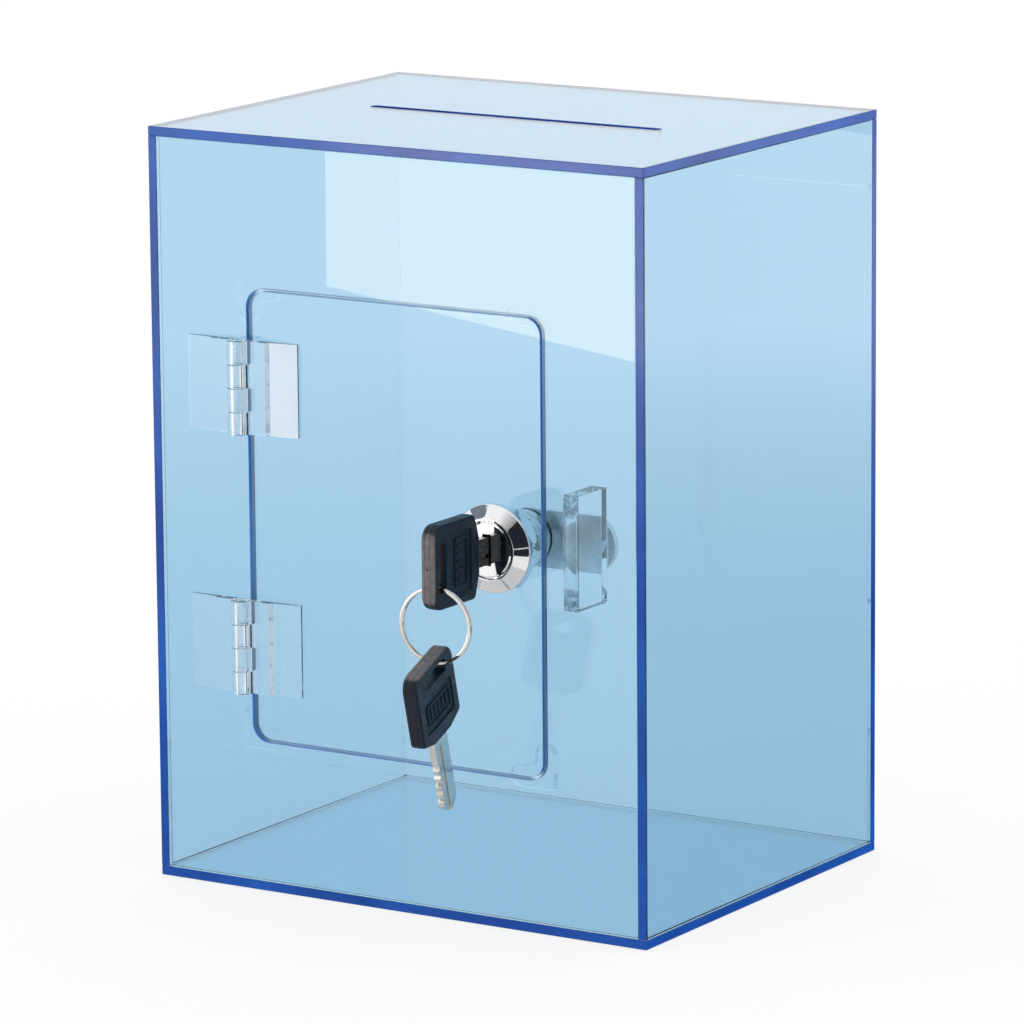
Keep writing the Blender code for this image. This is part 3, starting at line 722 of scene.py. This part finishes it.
def key_head_mesh():
    """A grip with a slot, mould lines round its rim, and a sunk panel with ribs on each side."""
    outline = key_head_outline()
    half_layers = [(inset(outline, depth + 0.06), x) for x, depth in KEY_RIM]
    layers = [(points, -x) for points, x in half_layers] + half_layers[::-1]
    slot = rounded_rectangle(2.3, 5.7, -6.6, 6.6, 1.0, 6)
    mesh = lofted(layers, "X", [slot])

    start, end, reach = KEY_PANEL

    def in_panel(margin, radius, steps):
        return rounded_rectangle(start + margin, end - margin, margin - reach, reach - margin,
                                 radius, steps)

    cutters = []
    raised = []
    for side in (-1, 1):
        sunk = sorted((side * (KEY_HALF - 0.3), side * (KEY_HALF + 1)))
        cutters.append(prism(in_panel(0, 0.8, 5), *sunk, "X"))
        proud = sorted((side * (KEY_HALF - 0.5), side * (KEY_HALF - 0.02)))
        raised.append(prism(in_panel(1.6, 0.6, 4), *proud, "X", [in_panel(2.1, 0.4, 4)]))
        for i in range(5):
            z = (i - 2) * 2.1
            bar = rounded_rectangle(start + 2.8, end - 2.8, z - 0.45, z + 0.45, 0.4, 3)
            raised.append(prism(bar, *proud, "X"))
    dimple = prism(circle(0.38, 16), -1, 0.35, "Y")
    room = BLADE_HALF + 0.05
    socket = block((-room, room), (BLADE_START, KEY_LENGTH + 1), (-3.1, 3.1))
    mesh = carved(mesh, cutters + [dimple, socket])
    return one_material(carved(mesh, raised, "UNION"))


def key_blade_mesh():
    """A blade with a pointed tip, cuts along its top and a groove in each side."""
    top = 3.6
    inside = top - 0.6
    shoulder = KEY_LENGTH + 0.4
    tip = KEY_LENGTH + BLADE_LENGTH
    outline = [(BLADE_START, -inside), (shoulder, -inside), (shoulder, -top), (tip - 2.6, -top),
               (tip - 1.2, -2.4), (tip, -0.8), (tip, 0.8), (tip - 1.2, 2.4), (tip - 2.6, top)]
    for number, depth in enumerate(BLADE_CUTS):
        middle = tip - 4.6 - number * 2.3
        outline += [(middle + 0.9, top), (middle + 0.25, top - depth), (middle - 0.25, top - depth),
                    (middle - 0.9, top)]
    outline += [(shoulder, top), (shoulder, inside), (BLADE_START, inside)]
    mesh = prism(outline, -BLADE_HALF, BLADE_HALF, "X")
    cutters = []
    for side, groove in ((-1, (0.3, 1.5)), (1, (-1.9, -0.7))):
        x = sorted((side * (BLADE_HALF - 0.5), side * 2))
        cutters.append(block(x, (KEY_LENGTH + 2.5, tip + 1), groove))
    return one_material(carved(mesh, cutters))


def moved(*distance):
    return Matrix.Translation(Vector(distance) * MM)


def turned(degrees, axis):
    return Matrix.Rotation(math.radians(degrees), 4, axis)


def build_keys():
    in_lock = moved(LOCK_X, FRONT - KEY_REACH, LOCK_Z)
    on_ring = (Matrix.Translation(SPARE_PIVOT) @ turned(RING_YAW, "Z")
               @ turned(SPARE_LEAN - 90, "X") @ moved(0, -SPARE_HOLD[0], -SPARE_HOLD[1]))
    for name, place, blade_place in (("key", in_lock, in_lock),
                                     ("spare_key", on_ring, on_ring @ turned(180, "Y"))):
        piece(name + "_head", key_head_mesh(), (PLASTIC,), name, place,
              (0.1, 2, 50))
        piece(name + "_blade", key_blade_mesh(), (NICKEL,), name, blade_place,
              (0.12, 2, 30))


def build_ring():
    """A flat wire wound twice, its two turns lying against each other and its ends tapered."""
    mesh = bmesh.new()
    section = rounded_rectangle(-0.55, 0.55, -0.25, 0.25, 0.22, 4)
    count = round(RING_TURNS * RING_STEPS)
    rings = []
    for i in range(count + 1):
        angle = math.tau * i / RING_STEPS
        rise = RING_PITCH * i / RING_STEPS
        u, v = math.cos(angle), math.sin(angle)
        from_end = min(i, count - i)
        scale = 1.0 if from_end > 3 else 0.55 + 0.15 * from_end
        ring = []
        for a, b in section:
            radius = RING_CENTRE + a * scale
            ring.append(mesh.verts.new(Vector((radius * u, rise + b * scale, radius * v)) * MM))
        rings.append(ring)
    bridge(mesh, rings)
    mesh.faces.new(rings[0])
    mesh.faces.new(rings[-1][::-1])
    bmesh.ops.recalc_face_normals(mesh, faces=mesh.faces)
    place = (Matrix.Translation(RING_PIVOT) @ turned(RING_YAW, "Z")
             @ moved(RING_ASIDE, -RING_PITCH * RING_TURNS / 2, -RING_DROP) @ turned(60, "Y"))
    piece("key_ring", mesh, (RING_NICKEL,), "ring", place, angle=40)


LOCK = moved(LOCK_X, 0, LOCK_Z)
build_panels()
build_door()
build_corner_stops()
build_strike()
build_hinges()
build_housing(LOCK)
build_nut(LOCK)
build_keys()
build_ring()


# --- the studio --------------------------------------------------------------------------------

def staged(name, corners, material):
    """A flat sheet through the corners, in millimetres, that is part of the studio."""
    mesh = bpy.data.meshes.new(name)
    mesh.from_pydata([Vector(corner) * MM for corner in corners], [], [range(len(corners))])
    mesh.materials.append(material)
    item = bpy.data.objects.new(name, mesh)
    bpy.context.scene.collection.objects.link(item)
    return item


def build_floor():
    material, _, shader, _ = blank("pale_floor")
    shader.inputs["Base Color"].default_value = (0.18, 0.18, 0.18, 1)
    shader.inputs["Roughness"].default_value = 0.9
    shader.inputs["Emission Color"].default_value = (1, 1, 1, 1)
    shader.inputs["Emission Strength"].default_value = 0.82
    shader.inputs["Specular IOR Level"].default_value = 0.0
    reach, level = 9000.0, -0.3
    corners = [(*corner, level) for corner in rectangle(-reach, reach, -reach, reach)]
    staged("floor", corners, material)


def build_world():
    """A white room that is darker on the camera's side."""
    world = bpy.data.worlds.new("studio")
    world.use_nodes = True
    tree = world.node_tree
    background = tree.nodes["Background"]
    way = add(tree, "TexCoord").outputs["Generated"]
    dark_side = Vector((math.sin(AZIMUTH), -math.cos(AZIMUTH), 0.12)).normalized()
    facing = add(tree, "VectorMath", {"operation": "DOT_PRODUCT"}, i0=way, i1=dark_side)
    shade = ranged(tree, facing.outputs["Value"], 0.55, 0.85, 1.12, 0.4)
    tree.links.new(shade, background.inputs["Strength"])
    background.inputs["Color"].default_value = (1, 1, 1, 1)
    bpy.context.scene.world = world


def build_camera():
    out = Vector((math.sin(AZIMUTH) * math.cos(ELEVATION), -math.cos(AZIMUTH) * math.cos(ELEVATION),
                  math.sin(ELEVATION)))
    right = (-out).cross(Vector((0, 0, 1))).normalized()
    up = right.cross(-out)
    across = math.cos(ROLL) * right + math.sin(ROLL) * up
    upward = math.cos(ROLL) * up - math.sin(ROLL) * right
    turn = Matrix((across, upward, out)).transposed().to_4x4()
    data = bpy.data.cameras.new("camera")
    data.lens = LENS
    data.sensor_width = 36.0
    data.clip_start = 0.05
    data.clip_end = 50.0
    camera = bpy.data.objects.new("camera", data)
    bpy.context.scene.collection.objects.link(camera)
    camera.matrix_world = Matrix.Translation(TARGET + out * DISTANCE) @ turn
    bpy.context.scene.camera = camera


AWAY = (math.sin(AZIMUTH), math.cos(AZIMUTH))
EVEN = (0, 1000)
CARDS = {
    # name: light near the box, light far from it, the distances these are at, colour, corners
    "warm_card": (7.6, 7.6, EVEN, (1.0, 0.89, 0.70), (
        (-559, -858, -0.1), (-300, -745, -0.1), (-841, -1547, -0.1), (-1100, -1660, -0.1))),
    "front_card": (0.7, 3.2, (250, 900), (1.0, 1.0, 1.0), (
        (110, -60, -0.2), (110, -150, -0.2), (-330, -1000, -0.2), (-700, -1600, -0.2),
        (-1500, -1300, -0.2), (-700, -60, -0.2))),
    "right_card": (0.1, 2.0, (340, 900), (1.0, 1.0, 1.0), (
        (76, -70, -0.2), (76, 120, -0.2), (350, 1100, -0.2), (1000, 1300, -0.2),
        (1300, 900, -0.2), (400, -150, -0.2))),
    "hinge_card": (8.4, 8.4, EVEN, (1.0, 0.66, 0.42), (
        (-273, -636, -0.1), (-253, -636, -0.1), (-330, -846, -0.1), (-354, -846, -0.1))),
    # dark cards and a strip of light, which give the chrome and the nickel their contrast
    "floor_flag": (0.03, 0.03, EVEN, (0.6, 0.8, 1.0), (
        (89, -421, -0.1), (372, -215, -0.1), (1299, -750, -0.1), (312, -1467, -0.1))),
    "front_flag": (0.03, 0.03, EVEN, (0.6, 0.8, 1.0), (
        (306, -2179, 0), (1942, -1033, 0), (1942, -1033, 1450), (306, -2179, 1450))),
    "left_flag": (0.28, 0.28, EVEN, (0.7, 0.85, 1.0), (
        (-1449, -388, 100), (-1149, -964, 100), (-1149, -964, 1500), (-1449, -388, 1500))),
    "strip_light": (1.8, 1.8, EVEN, (1.0, 0.97, 0.92), (
        (-674, -1669, 917), (-126, -1796, 917), (-126, -1796, 1620), (-674, -1669, 1620))),
}


def build_cards():
    """Cards round the box that only reflections see. Their light can change with the distance."""
    for name, (low, high, distances, colour, corners) in CARDS.items():
        material, tree, shader, place = blank(name)
        shader.inputs["Base Color"].default_value = (0, 0, 0, 1)
        shader.inputs["Specular IOR Level"].default_value = 0.0
        shader.inputs["Emission Color"].default_value = (*colour, 1)
        away = add(tree, "VectorMath", {"operation": "DOT_PRODUCT"}, i0=place, i1=(*AWAY, 0.0))
        away = maths(tree, "ABSOLUTE", away.outputs["Value"])
        share = ranged(tree, away, distances[0] * MM, distances[1] * MM)
        share = maths(tree, "POWER", share, 1.6)
        tree.links.new(ranged(tree, share, 0.0, 1.0, low, high), shader.inputs["Emission Strength"])
        card = staged(name, corners, material)
        card.visible_camera = False
        card.visible_transmission = False
        card.visible_diffuse = False
        card.visible_shadow = False


build_floor()
build_cards()
build_world()
build_camera()
bpy.context.scene.view_settings.view_transform = "Standard"
